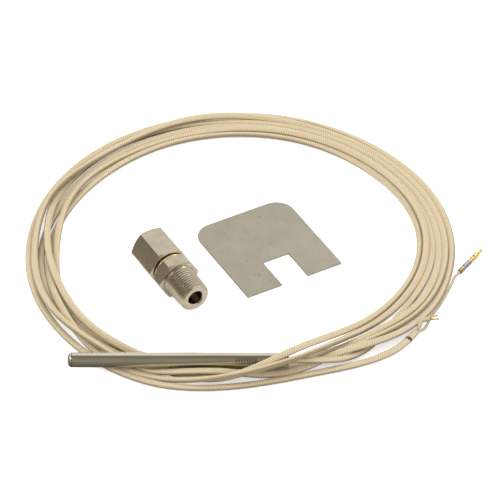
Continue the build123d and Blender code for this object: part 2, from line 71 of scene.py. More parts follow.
# lead: an oval braid over two conductors side by side
LEAD_HALF_WIDTH = 1.18
LEAD_HALF_HEIGHT = 0.95
LEAD_WAIST = 0.075               # how far the braid dips between the conductors, as a share
LEAD_SPREADS = (25.0, 34.0)      # from its start, where it takes its full size after the probe
LEAD_CARRIERS = 4                # yarn bands of each hand round the lead
LEAD_BAND = 0.85                 # along the lead, from one band to the next
BRAID_RELIEF = 0.08
SLEEVE_RADIUS = 0.42
SLEEVE_CARRIERS = 6
SLEEVE_BAND = 0.5
SLEEVE_RELIEF = 0.05
SLEEVE_IN_CONTACT = 0.9
SLEEVE_OVER_BARREL = 1.25        # how much further the socket's sleeve reaches, over its barrel
SLEEVE_FLARE = 0.33              # and how much wider it is there
WIRE_OFFSET = 0.45
SOCKET_LEG, PIN_LEG = "positive", "negative"

# thread round the jacket near its mouth
WRAP_HALF_LENGTH = 0.68
WRAP_PITCH = 0.27
WRAP_THREAD = 0.1
WRAP_CORE = 1.08                 # radius under the thread
WRAP_BORE = 1.0
WRAP_WIDE, WRAP_HIGH = 1.02, 0.86

# fitting, distances from the nut's rear face
FITTING_HEADING = -60.5
FITTING_BORE = 4.96
HEX_ACROSS_FLATS = 12.7
HEX_CHAMFER_SLOPE = 0.62         # along the axis, for each millimetre of radius
NUT_LENGTH = 13.6
NUT_BORE = 9.38
NUT_PIVOT_AT = 7.0               # the point of nut_turn on the axis
NUT_SEAT = 3.85                  # radius of the widest part of the ferrule's seat
NUT_SEAT_AT, NUT_SEAT_END = 5.55, 6.0
NOSE_AT = 6.5
NOSE_THREAD_DIAMETER = 9.3
NOSE_THREAD_END = 13.3
NOSE_PITCH = 25.4 / 24
BODY_SEAT_END = 9.6
COLLAR_AT = 14.05
COLLAR_DIAMETER = 12.3
BODY_HEX_AT = 15.1
COLLAR_END = BODY_HEX_AT - 0.14
COLLAR_PROFILE = (               # (distance past COLLAR_AT, drop below its full radius)
    (0.0, 0.6), (0.08, 0.34), (0.24, 0.13), (0.48, 0.02),
    (0.7, 0.0), (0.81, 0.04), (0.93, 0.22), (1.03, 0.22),
)
PIPE_THREAD_AT = 20.1
FITTING_LENGTH = 30.8
PIPE_END_DIAMETER = 9.95
PIPE_PITCH = 25.4 / 27
PIPE_TAPER = 1 / 16

# plate, measured along its own sides
PLATE_HEADING = 29.3
PLATE_WIDTH = 34.9
PLATE_DEPTH = 38.1
PLATE_CORNER_RADIUS = 6.35
PLATE_EDGE_WEAR = 0.12
SLOT_WIDTH = 9.5
SLOT_DEPTH = 12.7

# contacts, distances from their roots
SOCKET_TINES = (2.0, 5.25)
PIN_WINDOW = 8.6
WINDOW_HEIGHT = 0.75             # of the window's middle over the pin's axis

# how fine the meshes are
LEAD_STEP, LEAD_AROUND = ((0.22, 24))
SLEEVE_STEP, SLEEVE_AROUND = ((0.12, 24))
THREAD_STEP = 0.07


def box_mm(node):
    """A CAD node's lowest and highest corners."""
    low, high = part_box(node)
    return np.array(low) * 1000, np.array(high) * 1000


def stands_for(piece, body, node):
    """Makes a piece ride on a body and replace a CAD node."""
    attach(piece, body)
    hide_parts(node)


# ---------------------------------------------------------------- mesh helpers
def new_piece(name, points, faces, material, place=None):
    """A mesh object from points in millimetres; place is its own frame, also in millimetres."""
    mesh = bpy.data.meshes.new(name)
    mesh.from_pydata((np.asarray(points) * 0.001).tolist(), [], faces)
    mesh.update()
    piece = bpy.data.objects.new(name, mesh)
    bpy.context.scene.collection.objects.link(piece)
    mesh.materials.append(material)
    if place is not None:
        turn, at = place
        piece.matrix_world = Matrix.Translation(Vector(at) * 0.001) @ Matrix.Rotation(turn, 4, "Z")
    return piece


def shade(piece, angle=35.0):
    """Smooth shading, with edges sharper than the angle kept sharp."""
    piece.data.polygons.foreach_set("use_smooth", [True] * len(piece.data.polygons))
    piece.data.set_sharp_from_angle(angle=math.radians(angle))


def skin(rings, closed=False, capped=False):
    """Points and faces of the surface over rings of points; rings is an array (ring, point, 3)."""
    count, around, _ = rings.shape
    points = rings.reshape(-1, 3)
    ring = np.arange(count if closed else count - 1)[:, None] * around
    following = (ring + around) % (count * around)
    spot = np.arange(around)[None, :]
    beside = (spot + 1) % around
    quads = np.stack([ring + spot, ring + beside, following + beside, following + spot], axis=-1)
    faces = quads.reshape(-1, 4).tolist()
    caps = ((0, -1), ((count - 1) * around, 1)) if capped else ()
    for first, order in caps:
        hub = len(points)
        points = np.vstack([points, points[first:first + around].mean(axis=0)])
        for k in range(around):
            pair = [first + k, first + (k + 1) % around][::order]
            faces.append(pair + [hub])
    return points, faces


def softened(profile, radius):
    """A closed profile with each corner rounded off."""
    steps = 4
    points = [np.array(p, float) for p in profile]
    result = []
    for before, corner, after in zip(points[-1:] + points[:-1], points, points[1:] + points[:1]):
        back, ahead = before - corner, after - corner
        reach_back = min(radius, 0.45 * np.linalg.norm(back))
        reach_ahead = min(radius, 0.45 * np.linalg.norm(ahead))
        start = corner + back / (np.linalg.norm(back) + 1e-9) * reach_back
        end = corner + ahead / (np.linalg.norm(ahead) + 1e-9) * reach_ahead
        for k in range(steps + 1):
            t = k / steps
            result.append((1 - t) ** 2 * start + 2 * t * (1 - t) * corner + t * t * end)
    return result


def lathe(name, profile, material, place):
    """A turned piece from a closed profile of (distance along X, radius) points off the axis."""
    around = 96
    turn = np.linspace(0, 2 * np.pi, around, endpoint=False)
    rings = np.array([
        np.stack([np.full(around, x), r * np.cos(turn), r * np.sin(turn)], axis=1) for x, r in profile])
    points, faces = skin(rings, closed=True)
    piece = new_piece(name, points, faces, material, place)
    shade(piece)
    return piece


# ---------------------------------------------------------------- material helpers
class Nodes:
    """A node tree that is put together socket by socket."""

    def __init__(self, tree):
        self.tree = tree

    def put(self, socket, value):
        if isinstance(value, bpy.types.NodeSocket):
            self.tree.links.new(value, socket)
        else:
            socket.default_value = value

    def node(self, kind, inputs, output=0, **settings):
        made = self.tree.nodes.new("ShaderNode" + kind)
        for key, value in settings.items():
            setattr(made, key, value)
        for key, value in inputs.items():
            self.put(made.inputs[key], value)
        return made.outputs[output]

    def math(self, operation, a, b=0.0, c=0.0):
        return self.node("Math", {0: a, 1: b, 2: c}, operation=operation)

    def axes(self, vector):
        """The three components of a vector."""
        made = self.tree.nodes.new("ShaderNodeSeparateXYZ")
        self.put(made.inputs[0], vector)
        return made.outputs

    def noise(self, vector, scale, detail=3.0, roughness=0.55):
        return self.node("TexNoise", {"Vector": vector, "Scale": scale, "Detail": detail,
                                      "Roughness": roughness})

    def ramp(self, value, stops):
        made = self.tree.nodes.new("ShaderNodeValToRGB")
        self.put(made.inputs[0], value)
        elements = made.color_ramp.elements
        while len(elements) < len(stops):
            elements.new(0.5)
        for element, (at, shown) in zip(elements, stops):
            element.position = at
            element.color = (*shown, 1.0)
        return made.outputs[0]

    def span(self, value, low, high, to_low, to_high):
        """The value carried from low..high to to_low..to_high, and held beyond them."""
        return self.node("MapRange", {0: value, 1: low, 2: high, 3: to_low, 4: to_high})

    def between(self, value, low, high):
        """1 where the value lies between low and high, 0 elsewhere."""
        return self.math("MULTIPLY", self.math("GREATER_THAN", value, low),
                         self.math("LESS_THAN", value, high))

    def apart(self, value, other):
        """How far the value is from another."""
        return self.math("ABSOLUTE", self.math("SUBTRACT", value, other))

    def mix(self, share, a, b):
        made = self.tree.nodes.new("ShaderNodeMix")
        made.data_type = "RGBA"
        for socket, value in zip((made.inputs[0], made.inputs[6], made.inputs[7]), (share, a, b)):
            self.put(socket, (*value, 1.0) if isinstance(value, tuple) and len(value) == 3 else value)
        return made.outputs[2]


class Paint(Nodes):
    """A material; lengths in it are millimetres of the piece's own coordinates."""

    def __init__(self, name):
        self.material = bpy.data.materials.new(name)
        self.material.use_nodes = True
        super().__init__(self.material.node_tree)
        self.bsdf = self.tree.nodes["Principled BSDF"]

    def place_mm(self, scale=(1.0, 1.0, 1.0)):
        """The piece's own coordinates in millimetres, stretched by scale."""
        own = self.node("TexCoord", {}, output="Object")
        return self.node("VectorMath", {0: own, 1: [1000 * s for s in scale]}, operation="MULTIPLY")

    def blend(self, a, share_a, b, share_b):
        """A weighted sum of two noises."""
        return self.math("ADD", self.math("MULTIPLY", a, share_a), self.math("MULTIPLY", b, share_b))

    def bump(self, height, depth_mm):
        normal = self.node("Bump", {"Height": height, "Distance": depth_mm * 0.001})
        self.put(self.bsdf.inputs["Normal"], normal)

    def finish(self, **inputs):
        for key, value in inputs.items():
            self.put(self.bsdf.inputs[key.replace("_", " ")], value)
        return self.material


def color(r, g, b):
    """Linear colour of an 8-bit sRGB one."""
    return tuple(((c / 255 + 0.055) / 1.055) ** 2.4 if c > 10 else c / 3295 for c in (r, g, b))


def braid_material(name, carriers, band, light, dark, painted_shade):
    """Braided glass yarn: the piece's UV map holds the share of the way round and millimetres along."""
    paint = Paint(name)
    share, length, _ = paint.axes(paint.node("UVMap", {}, uv_map="UVMap"))
    around = paint.math("MULTIPLY", share, carriers)
    along = paint.math("DIVIDE", length, band)
    right = paint.math("ADD", around, along)
    left = paint.math("SUBTRACT", around, along)
    whole = paint.math("ADD", paint.math("FLOOR", right), paint.math("FLOOR", left))
    over = paint.math("FLOORED_MODULO", whole, 2.0)

    # across a band, along it, and which band it is, for whichever hand lies on top
    across = paint.node("Mix", {0: over, 2: paint.math("FRACT", right), 3: paint.math("FRACT", left)})
    run = paint.node("Mix", {0: over, 2: left, 3: right})
    band_number = paint.node("Mix", {0: over, 2: paint.math("FLOOR", right),
                                     3: paint.math("FLOOR", left)})
    centred = paint.math("ABSOLUTE", paint.math("MULTIPLY_ADD", across, 2.0, -1.0))
    crown = paint.math("SUBTRACT", 1.0, paint.math("POWER", centred, 2.5))
    strands = paint.node("CombineXYZ", {0: paint.math("MULTIPLY", across, 7.0),
                                        1: paint.math("MULTIPLY", run, 0.55), 2: band_number})
    filament = paint.noise(strands, 1.6, detail=2.0)
    yarn = paint.node("CombineXYZ", {0: paint.math("MULTIPLY", run, 0.13), 1: band_number, 2: over})
    shade_of_yarn = paint.noise(yarn, 2.3, detail=1.0)
    patch = paint.noise(paint.place_mm(), 0.045, detail=3.0)

    tone = paint.blend(filament, 0.45, shade_of_yarn, 0.4)
    tone = paint.math("ADD", tone, paint.math("MULTIPLY", patch, 0.5))
    surface = paint.ramp(tone, [(0.42, dark), (0.62, light), (0.9, light)])
    surface = paint.mix(paint.math("MULTIPLY", over, 0.3), surface, dark)
    # painted shade: darker towards the edges of each yarn band, where the bands meet
    shade_between_bands = paint.span(crown, 0.0, 0.6, 0.8, 0.0)
    shown = paint.mix(shade_between_bands, surface, painted_shade)
    # painted shade: the lower side of the lead is darkened towards the shade colour
    upward = paint.math("COSINE", paint.math("MULTIPLY_ADD", share, 2 * math.pi, -math.pi / 2))
    underside_shade = paint.span(upward, -0.15, 0.6, 0.62, 0.0)
    shown = paint.mix(underside_shade, shown, painted_shade)
    paint.bump(paint.math("ADD", crown, paint.math("MULTIPLY", filament, 0.45)), 0.09)
    rough = paint.span(filament, 0.3, 0.7, 0.55, 0.78)
    return paint.finish(Base_Color=shown, Roughness=rough, Specular_IOR_Level=0.28,
                        Sheen_Weight=0.12, Sheen_Roughness=0.5)


def drawn_steel(name, bright, dull, roughness, line_scale, line_depth):
    """Stainless steel with fine lines that run along X."""
    paint = Paint(name)
    lines = paint.noise(paint.place_mm((0.03, 1.0, 1.0)), line_scale, detail=4.0, roughness=0.7)
    fine = paint.noise(paint.place_mm((0.2, 6.0, 6.0)), line_scale, detail=2.0)
    patch = paint.noise(paint.place_mm(), 0.05, detail=4.0)
    tone = paint.blend(lines, 0.5, patch, 0.5)
    base = paint.ramp(tone, [(0.35, dull), (0.6, bright), (0.95, bright)])
    rough = paint.math("ADD", paint.span(lines, 0.3, 0.7, -0.04, 0.05), roughness)
    paint.bump(paint.math("ADD", lines, fine), line_depth)
    return paint.finish(Base_Color=base, Metallic=1.0, Roughness=rough)


def crimped_tube(name, bright, dull, roughness, shade_and_joint_dark):
    """Drawn tube with painted shade in the slanted strokes of its crimp band, and darker lines at its nose
    and at the tip's joint.
    """
    paint = Paint(name)
    own = paint.place_mm()
    lines = paint.noise(paint.place_mm((0.03, 1.0, 1.0)), 1.2, detail=4.0, roughness=0.7)
    patch = paint.noise(own, 0.05, detail=4.0)
    tone = paint.blend(lines, 0.5, patch, 0.5)
    base = paint.ramp(tone, [(0.35, dull), (0.6, bright), (0.95, bright)])

    from_tip, _, height = paint.axes(own)
    slanted = paint.math("MULTIPLY_ADD", height, -CRIMP_SLANT, from_tip)
    phase = paint.math("DIVIDE", paint.math("SUBTRACT", slanted, CRIMP_START), CRIMP_PITCH)
    off_stroke = paint.apart(phase, paint.math("ROUND", phase))
    stroke = paint.span(off_stroke, 0.14, 0.34, 1.0, 0.35)
    in_band = paint.between(slanted, CRIMP_START - CRIMP_PITCH / 2,
                            CRIMP_START + CRIMP_PITCH * (CRIMP_GROOVES - 0.5))
    below_top = paint.span(height, *STROKE_TOP, 1.0, 0.0)
    above_foot = paint.span(height, *STROKE_FOOT, 0.0, 1.0)
    strokes = paint.math("MULTIPLY", paint.math("MULTIPLY", stroke, in_band),
                         paint.math("MULTIPLY", below_top, above_foot))

    nose = paint.span(from_tip, 0.1, 0.3, 0.7, 0.0)
    joint = paint.span(paint.apart(from_tip, DOME_LENGTH), 0.04, 0.2, 0.6, 0.0)
    welded = paint.math("MAXIMUM", nose, joint)
    # painted shade in the crimp strokes; the nose and the tip's joint are darkened too
    base = paint.mix(paint.math("MULTIPLY_ADD", strokes, 0.75, welded), base, shade_and_joint_dark)
    rough = paint.math("ADD", paint.span(lines, 0.3, 0.7, -0.04, 0.05), roughness)
    rough = paint.math("MULTIPLY_ADD", strokes, 0.3, rough)
    paint.bump(lines, 0.003)
    return paint.finish(Base_Color=base, Metallic=1.0, Roughness=rough)


def turned_steel(name, bright, dull, roughness):
    """Steel with the rings that a turning tool leaves about X, and a few small nicks.

    Returns the unfinished paint, its colour and its roughness.
    """
    paint = Paint(name)
    rings = paint.noise(paint.place_mm((1.0, 0.02, 0.02)), 9.0, detail=3.0, roughness=0.7)
    patch = paint.noise(paint.place_mm(), 0.35, detail=4.0)
    nick = paint.node("TexVoronoi", {"Vector": paint.place_mm(), "Scale": 0.9, "Randomness": 1.0})
    mark = paint.span(nick, 0.0, 0.09, 1.0, 0.0)
    base = paint.ramp(patch, [(0.3, dull), (0.62, bright), (0.95, bright)])
    base = paint.mix(paint.math("MULTIPLY", mark, 0.3), base, tuple(0.5 * c for c in dull))
    rough = paint.math("ADD", paint.span(patch, 0.3, 0.7, 0.05, -0.04), roughness)
    paint.bump(paint.math("SUBTRACT", rings, mark), 0.0025)
    return paint, base, rough


def fitting_steel(name, bright, dull, roughness, collar, shade_and_joint_dark):
    """Turned steel with painted shade in the pipe thread's grooves and beside the collar, and a painted
    highlight on the collar; X from the nut's rear.
    """
    paint, base, rough = turned_steel(name, bright, dull, roughness)
    along, _, _ = paint.axes(paint.place_mm())
    off_axis = paint.node("VectorMath", {0: paint.place_mm((0.0, 1.0, 1.0))}, output="Value",
                          operation="LENGTH")
    crest = paint.math("MULTIPLY_ADD", along, -PIPE_TAPER / 2,
                       PIPE_END_DIAMETER / 2 + PIPE_TAPER / 2 * FITTING_LENGTH)
    below_crest = paint.span(paint.math("SUBTRACT", crest, off_axis), 0.08, 0.5, 0.0, 0.5)
    outside = paint.math("GREATER_THAN", off_axis, PIPE_END_DIAMETER / 2 - 0.9)
    threaded = paint.between(along, PIPE_THREAD_AT + 0.05, FITTING_LENGTH - 0.9)
    in_thread = paint.math("MULTIPLY", below_crest, paint.math("MULTIPLY", outside, threaded))
    # painted shade in the pipe thread's grooves
    base = paint.mix(in_thread, base, shade_and_joint_dark)
    # painted highlight: the collar is lighter and warmer than the rest of the steel
    base = paint.mix(paint.between(along, COLLAR_AT - 0.02, COLLAR_END), base, collar)
    # painted shade in the crease at the collar's end, by the hexagon
    base = paint.mix(paint.span(paint.apart(along, COLLAR_END), 0.06, 0.13, 0.75, 0.0), base, shade_and_joint_dark)
    return paint.finish(Base_Color=base, Metallic=1.0, Roughness=rough)


def satin_sheet(name, bright, dull, speck):
    """Cold-rolled stainless sheet: faint mottling, short fine scratches and dark specks."""
    paint = Paint(name)
    grain = paint.noise(paint.place_mm((1.0, 0.08, 1.0)), 3.2, detail=4.0, roughness=0.75)
    patch = paint.noise(paint.place_mm(), 0.11, detail=5.0, roughness=0.6)
    dots = paint.noise(paint.place_mm((1.0, 0.55, 1.0)), 0.95, detail=3.0, roughness=0.6)
    spots = paint.span(dots, 0.655, 0.74, 0.0, 0.75)
    tone = paint.blend(grain, 0.45, patch, 0.55)
    base = paint.mix(spots, paint.ramp(tone, [(0.36, dull), (0.6, bright), (0.95, bright)]), speck)
    rough = paint.math("ADD", paint.span(grain, 0.3, 0.7, -0.05, 0.06), 0.5)
    paint.bump(paint.math("SUBTRACT", grain, spots), 0.012)
    return paint.finish(Base_Color=base, Metallic=0.85, Roughness=rough)


def grainy(name, light, dark, scale, depth, roughness=0.85, **finish):
    """A matt mineral or fibrous material with fine grain."""
    paint = Paint(name)
    grain = paint.noise(paint.place_mm(), scale, detail=5.0, roughness=0.7)
    coarse = paint.noise(paint.place_mm(), scale * 0.13, detail=2.0)
    tone = paint.blend(grain, 0.6, coarse, 0.4)
    paint.bump(grain, depth)
    base = paint.ramp(tone, [(0.35, dark), (0.65, light), (0.95, light)])
    return paint.finish(Base_Color=base, Roughness=roughness, **finish)


def thread_darker_outside(name, plain, outer_dark):
    """Thread that is darker along the outer side of the coil, which is -Y of the piece."""
    paint = Paint(name)
    own = paint.place_mm()
    _, inward, _ = paint.axes(own)
    fibres = paint.noise(own, 6.0, detail=4.0)
    edge = paint.math("MULTIPLY_ADD", fibres, 0.5, inward)
    base = paint.mix(paint.span(edge, -0.2, 0.35, 1.0, 0.0), plain, outer_dark)
    paint.bump(fibres, 0.02)
    return paint.finish(Base_Color=base, Roughness=0.65)


def contact_material(name, origin, heading, stops, window=None):
    """A plated contact whose colours change at set distances from its root.

    stops holds (distance, colour) pairs; window is the distance of a dark inspection hole.
    """
    paint = Paint(name)
    own = paint.place_mm()
    away = paint.node("VectorMath", {0: own, 1: list(origin)}, operation="SUBTRACT")
    ahead = (math.cos(heading), math.sin(heading), 0.0)
    along = paint.node("VectorMath", {0: away, 1: ahead}, output="Value", operation="DOT_PRODUCT")
    wear = paint.noise(own, 2.2, detail=4.0)
    lines = paint.noise(own, 12.0, detail=2.0)
    edge = paint.math("MULTIPLY_ADD", wear, 0.3, along)
    base = paint.mix(0.0, stops[0][1], stops[0][1])
    for at, following in stops[1:]:
        base = paint.mix(paint.span(edge, at + 0.1, at + 0.25, 0.0, 1.0), base, following)
    base = paint.mix(paint.span(wear, 0.3, 0.62, 0.35, 0.0), base, (0.12, 0.06, 0.015))
    # painted shade: the inspection hole's dark inside is painted on the surface as a spot
    if window is not None:
        spot = [origin[k] + window * ahead[k] for k in range(2)] + [origin[2] + WINDOW_HEIGHT]
        off_window = paint.node("VectorMath", {0: own, 1: spot}, output="Value", operation="DISTANCE")
        base = paint.mix(paint.span(off_window, 0.3, 0.5, 0.85, 0.0), base, (0.05, 0.025, 0.008))
    paint.bump(paint.math("ADD", lines, wear), 0.005)
    rough = paint.span(wear, 0.3, 0.7, 0.2, 0.32)
    return paint.finish(Base_Color=base, Metallic=1.0, Roughness=rough)


# ---------------------------------------------------------------- paths of the lead
def centreline(node, start, reach):
    """Centre points of a bar or tube node, whose mesh is a row of rings.

    The first ring is the points within reach of start; each next one is the points joined to the last.
    """
    mesh = NODES[node].data
    at = np.empty(len(mesh.vertices) * 3, np.float32)
    mesh.vertices.foreach_get("co", at)
    at = at.reshape(-1, 3).astype(float) * 1000
    ends = np.empty(len(mesh.edges) * 2, np.int64)
    mesh.edges.foreach_get("vertices", ends)
    _, merged = np.unique(np.round(at / 0.002).astype(np.int64), axis=0, return_inverse=True)
    merged = merged.ravel()
    places = np.zeros((merged.max() + 1, 3))
    places[merged] = at
    links = merged[ends.reshape(-1, 2)]
    ring = np.linalg.norm(places - start, axis=1) < reach
    seen = ring.copy()
    middles = []
    while ring.any():
        middles.append(places[ring].mean(axis=0))
        following = np.zeros(len(places), bool)
        following[links[ring[links[:, 0]], 1]] = True
        following[links[ring[links[:, 1]], 0]] = True
        ring = following & ~seen
        seen |= ring
    return np.array(middles)


def lengths(path):
    """The length along a path at each of its points."""
    return np.concatenate([[0.0], np.cumsum(np.linalg.norm(np.diff(path, axis=0), axis=1))])


def smooth_path(path, wanted):
    """Points of a smooth curve through the path, at the wanted lengths along it."""
    known = lengths(path)
    slope = np.gradient(path, known, axis=0)
    i = np.clip(np.searchsorted(known, wanted, side="right") - 1, 0, len(known) - 2)
    gap = (known[i + 1] - known[i])[:, None]
    u = ((wanted - known[i]) / (known[i + 1] - known[i]))[:, None]
    return ((1 + 2 * u) * (1 - u) ** 2 * path[i] + u * (1 - u) ** 2 * gap * slope[i]
            + u * u * (3 - 2 * u) * path[i + 1] + u * u * (u - 1) * gap * slope[i + 1])


def ease(value, start, end):
    """0 before start, 1 after end, and a smooth rise between."""
    t = np.clip((value - start) / (end - start), 0, 1)
    return t * t * (3 - 2 * t)


def braid_height(around, along, carriers, band):
    """The relief of a plain braid, 0 to 1: a share round and millimetres along."""
    right = around * carriers + along / band
    left = around * carriers - along / band
    over = (np.floor(right) + np.floor(left)) % 2
    across = np.where(over == 0, right % 1, left % 1)
    run = np.where(over == 0, left % 1, right % 1)
    crown = 1 - np.abs(2 * across - 1) ** 2.5
    return crown * (0.55 + 0.45 * np.sin(np.pi * run))


def braided_bar(name, path, along, widths, heights, twist, waist, relief, carriers, band, around, material):
    """An oval braided bar round a path; the arrays give its half sizes, twist and relief along it."""
    middle = smooth_path(path, along)
    tangent = np.gradient(middle, along, axis=0)
    tangent /= np.linalg.norm(tangent, axis=1)[:, None]
    left = np.cross([0.0, 0.0, 1.0], tangent)
    left /= np.linalg.norm(left, axis=1)[:, None]
    up = np.cross(tangent, left)
    share = np.arange(around) / around
    turn = 2 * np.pi * share
    wide = widths[:, None] * np.cos(turn)
    high = heights[:, None] * np.sin(turn) * (1 - waist * np.exp(-(np.cos(turn) / 0.38) ** 2))
    height = braid_height(share[None, :], along[:, None], carriers, band)
    size = 1 + (height - 0.5) * relief[:, None] / np.hypot(wide, high)
    wide, high = wide * size, high * size
    c, s = np.cos(twist)[:, None], np.sin(twist)[:, None]
    sideways, upward = wide * c - high * s, wide * s + high * c
    rings = middle[:, None, :] + sideways[..., None] * left[:, None, :] + upward[..., None] * up[:, None, :]
    rings[..., 2] = np.maximum(rings[..., 2], 0.02)
    points, faces = skin(rings, capped=True)
    piece = new_piece(name, points, faces, material)
    layer = piece.data.uv_layers.new(name="UVMap")
    loop_points = np.empty(len(piece.data.loops), np.int64)
    piece.data.loops.foreach_get("vertex_index", loop_points)
    count = len(along)
    side = count * around
    ring_of = np.minimum(loop_points // around, count - 1)
    spot_of = loop_points % around
    u = spot_of / around
    u[loop_points >= side] = 0.5
    v = along[ring_of]
    v[loop_points == side] = along[0]
    wraps = np.zeros(len(loop_points), bool)
    quads = (count - 1) * around
    corner = np.arange(4 * quads)
    last_spot = (corner // 4) % around == around - 1
    wraps[:4 * quads] = last_spot & ((corner % 4 == 1) | (corner % 4 == 2))
    u = np.where(wraps, 1.0, u)
    layer.data.foreach_set("uv", np.stack([u, v], axis=1).ravel())
    shade(piece, 80.0)
    return piece


def wander(along, seed, reach, shortest, longest, waves=6):
    """A slow random drift along a length."""
    draw = np.random.default_rng(seed)
    total = np.zeros_like(along)
    for _ in range(waves):
        wave = draw.uniform(shortest, longest)
        total += np.sin(2 * np.pi * along / wave + draw.uniform(0, 2 * np.pi))
    return reach * total / math.sqrt(waves)


# ---------------------------------------------------------------- the lead
def make_lead(tip, material, sleeve_material):
    """The jacket and both sleeves; returns the jacket's centres and each contact's root and heading."""
    lead = centreline("lead_jacket", tip + [JACKET_START, 0, 0], 1.1)
    length = lengths(lead)[-1]
    along = np.linspace(0, length, int(length / LEAD_STEP))
    squeezed = 1 - ease(along, *LEAD_SPREADS)
    mouth = ease(along, length - 12, length)
    size = (1 - 0.1 * squeezed) * (1 + wander(along, seed=5, reach=0.012, shortest=4.0, longest=40.0))
    twist = wander(along, seed=11, reach=0.55, shortest=120.0, longest=420.0)
    twist = (1 - squeezed) * twist * (1 - mouth)
    jacket = braided_bar("lead_braid", lead, along, LEAD_HALF_WIDTH * size * (1 - 0.08 * mouth),
                         LEAD_HALF_HEIGHT * size, twist, LEAD_WAIST, np.full(len(along), BRAID_RELIEF),
                         LEAD_CARRIERS, LEAD_BAND, LEAD_AROUND, material)
    stands_for(jacket, "kit", "lead_jacket")

    contacts = {}
    for name, side in (("positive", 1), ("negative", -1)):
        path = centreline(name + "_sleeve", tip + [SLEEVE_START, side * WIRE_OFFSET, 0], 0.5)
        ahead = path[-1] - path[-2]
        ahead /= np.linalg.norm(ahead)
        contacts[name] = (path[-1] - SLEEVE_IN_CONTACT * ahead, math.atan2(ahead[1], ahead[0]))
        over_barrel = name == SOCKET_LEG
        if over_barrel:
            path = np.vstack([path, path[-1] + SLEEVE_OVER_BARREL * ahead])
        known = lengths(path)
        leg_start = known[np.argmin(np.linalg.norm(path - lead[-1], axis=1))] - 4.0
        along = np.concatenate([np.arange(0, leg_start, 2.0), np.arange(leg_start, known[-1], SLEEVE_STEP)])
        along[-1] = known[-1]
        radius = np.full(len(along), SLEEVE_RADIUS)
        if over_barrel:
            radius = radius + SLEEVE_FLARE * ease(along, known[-1] - 6.0, known[-1] - 4.2)
        relief = SLEEVE_RELIEF * ease(along, leg_start, leg_start + 3.0)
        sleeve = braided_bar(name + "_sleeve_braid", path, along, radius, radius, np.zeros(len(along)), 0.0,
                             relief, SLEEVE_CARRIERS, SLEEVE_BAND, SLEEVE_AROUND, sleeve_material)
        stands_for(sleeve, "kit", name + "_sleeve")
    return lead, contacts


def make_mouth_wrap(lead, material):
    """Close turns of thread round the jacket, a little before its mouth."""
    ahead = lead[-2] - lead[-3]
    heading = math.atan2(ahead[1], ahead[0])
    low, high = box_mm("mouth_wrap")
    x = np.linspace(-WRAP_HALF_LENGTH, WRAP_HALF_LENGTH, 61)
    turn = np.linspace(0, 2 * np.pi, 72, endpoint=False)
    phase = (x[:, None] / WRAP_PITCH - turn[None, :] / (2 * np.pi)) % 1
    outer = WRAP_CORE + WRAP_THREAD * np.sqrt(np.maximum(0, 1 - (2 * phase - 1) ** 2))
    outer *= (1 - 0.1 * np.abs(x / WRAP_HALF_LENGTH)[:, None] ** 8)
    inner = np.full((len(x), len(turn)), WRAP_BORE)
    there_and_back = np.concatenate([x, x[::-1]])
    radii = np.vstack([outer, inner])
    rings = np.stack([np.repeat(there_and_back[:, None], len(turn), axis=1),
                      WRAP_WIDE * radii * np.cos(turn), WRAP_HIGH * radii * np.sin(turn)], axis=-1)
    points, faces = skin(rings, closed=True)
    wrap = new_piece("mouth_thread_wrap", points, faces, material, (heading, (low + high) / 2))
    shade(wrap, 60.0)
    stands_for(wrap, "kit", "mouth_wrap")


# ---------------------------------------------------------------- the probe
def make_probe(tip, material):
    """The tube with its crimp grooves, and the plug with its rounded nose and its spigot."""
    low, high = box_mm("probe_sheath")
    radius = (high[1] - low[1]) / 2
    length = high[0] - tip[0]
    bore = radius - WALL
    profile = [(DOME_LENGTH + SLIP, bore), (DOME_LENGTH + SLIP, radius)]
    for n in range(CRIMP_GROOVES):
        groove = CRIMP_START + CRIMP_PITCH * n
        profile += [(groove - CRIMP_HALF_WIDTH, radius), (groove, radius - CRIMP_DEPTH),
                    (groove + CRIMP_HALF_WIDTH, radius)]
    profile += [(length, radius), (length, bore)]
    sheath = lathe("probe_tube", softened(profile, 0.12), material, (0.0, tip))
    stands_for(sheath, "kit", "probe_sheath")

    low, high = box_mm("tip_plug")
    spigot_end = high[0] - tip[0]
    dome = []
    for k in range(1, 21):
        t = k / 20 * math.pi / 2
        dome.append((DOME_LENGTH * (1 - math.cos(t)) ** 1.15, radius * math.sin(t) ** 0.85))
    spigot = [(DOME_LENGTH, radius), (DOME_LENGTH + 0.01, bore - SLIP), (spigot_end - 0.2, bore - SLIP),
              (spigot_end, bore - 0.2), (spigot_end, 0.05)]
    plug = lathe("probe_tip", [(0.0, 0.02)] + dome + spigot, material, (0.0, tip))
    stands_for(plug, "kit", "tip_plug")


# ---------------------------------------------------------------- the compression fitting
# the turns of a ring's points: degrees from the middle of each of the six sides, closer near corners
HALF_SIDE = np.array([0.0, 6.0, 12.0, 18.0, 23.0, 26.5, 28.4, 29.4])
SIDE = np.concatenate([-HALF_SIDE[:0:-1], HALF_SIDE, [30.0]])
HEX_TURNS = np.radians(np.concatenate([SIDE + 60 * n + 30 for n in range(6)]))


def soft_least(a, b, blend):
    """The lesser of two, rounded where they meet."""
    least = np.minimum(a, b)
    return least - blend * np.log(np.exp((least - a) / blend) + np.exp((least - b) / blend))


def hex_radius():
    """Distance to a hexagon's sides at each turn, with a flat underneath and worn corners."""
    from_flat = np.degrees(HEX_TURNS) % 60 - 30
    side = HEX_ACROSS_FLATS / 2 / np.cos(np.radians(from_flat))
    corner = HEX_ACROSS_FLATS / 2 / math.cos(math.radians(30)) - 0.1
    return soft_least(side, corner, 0.03)


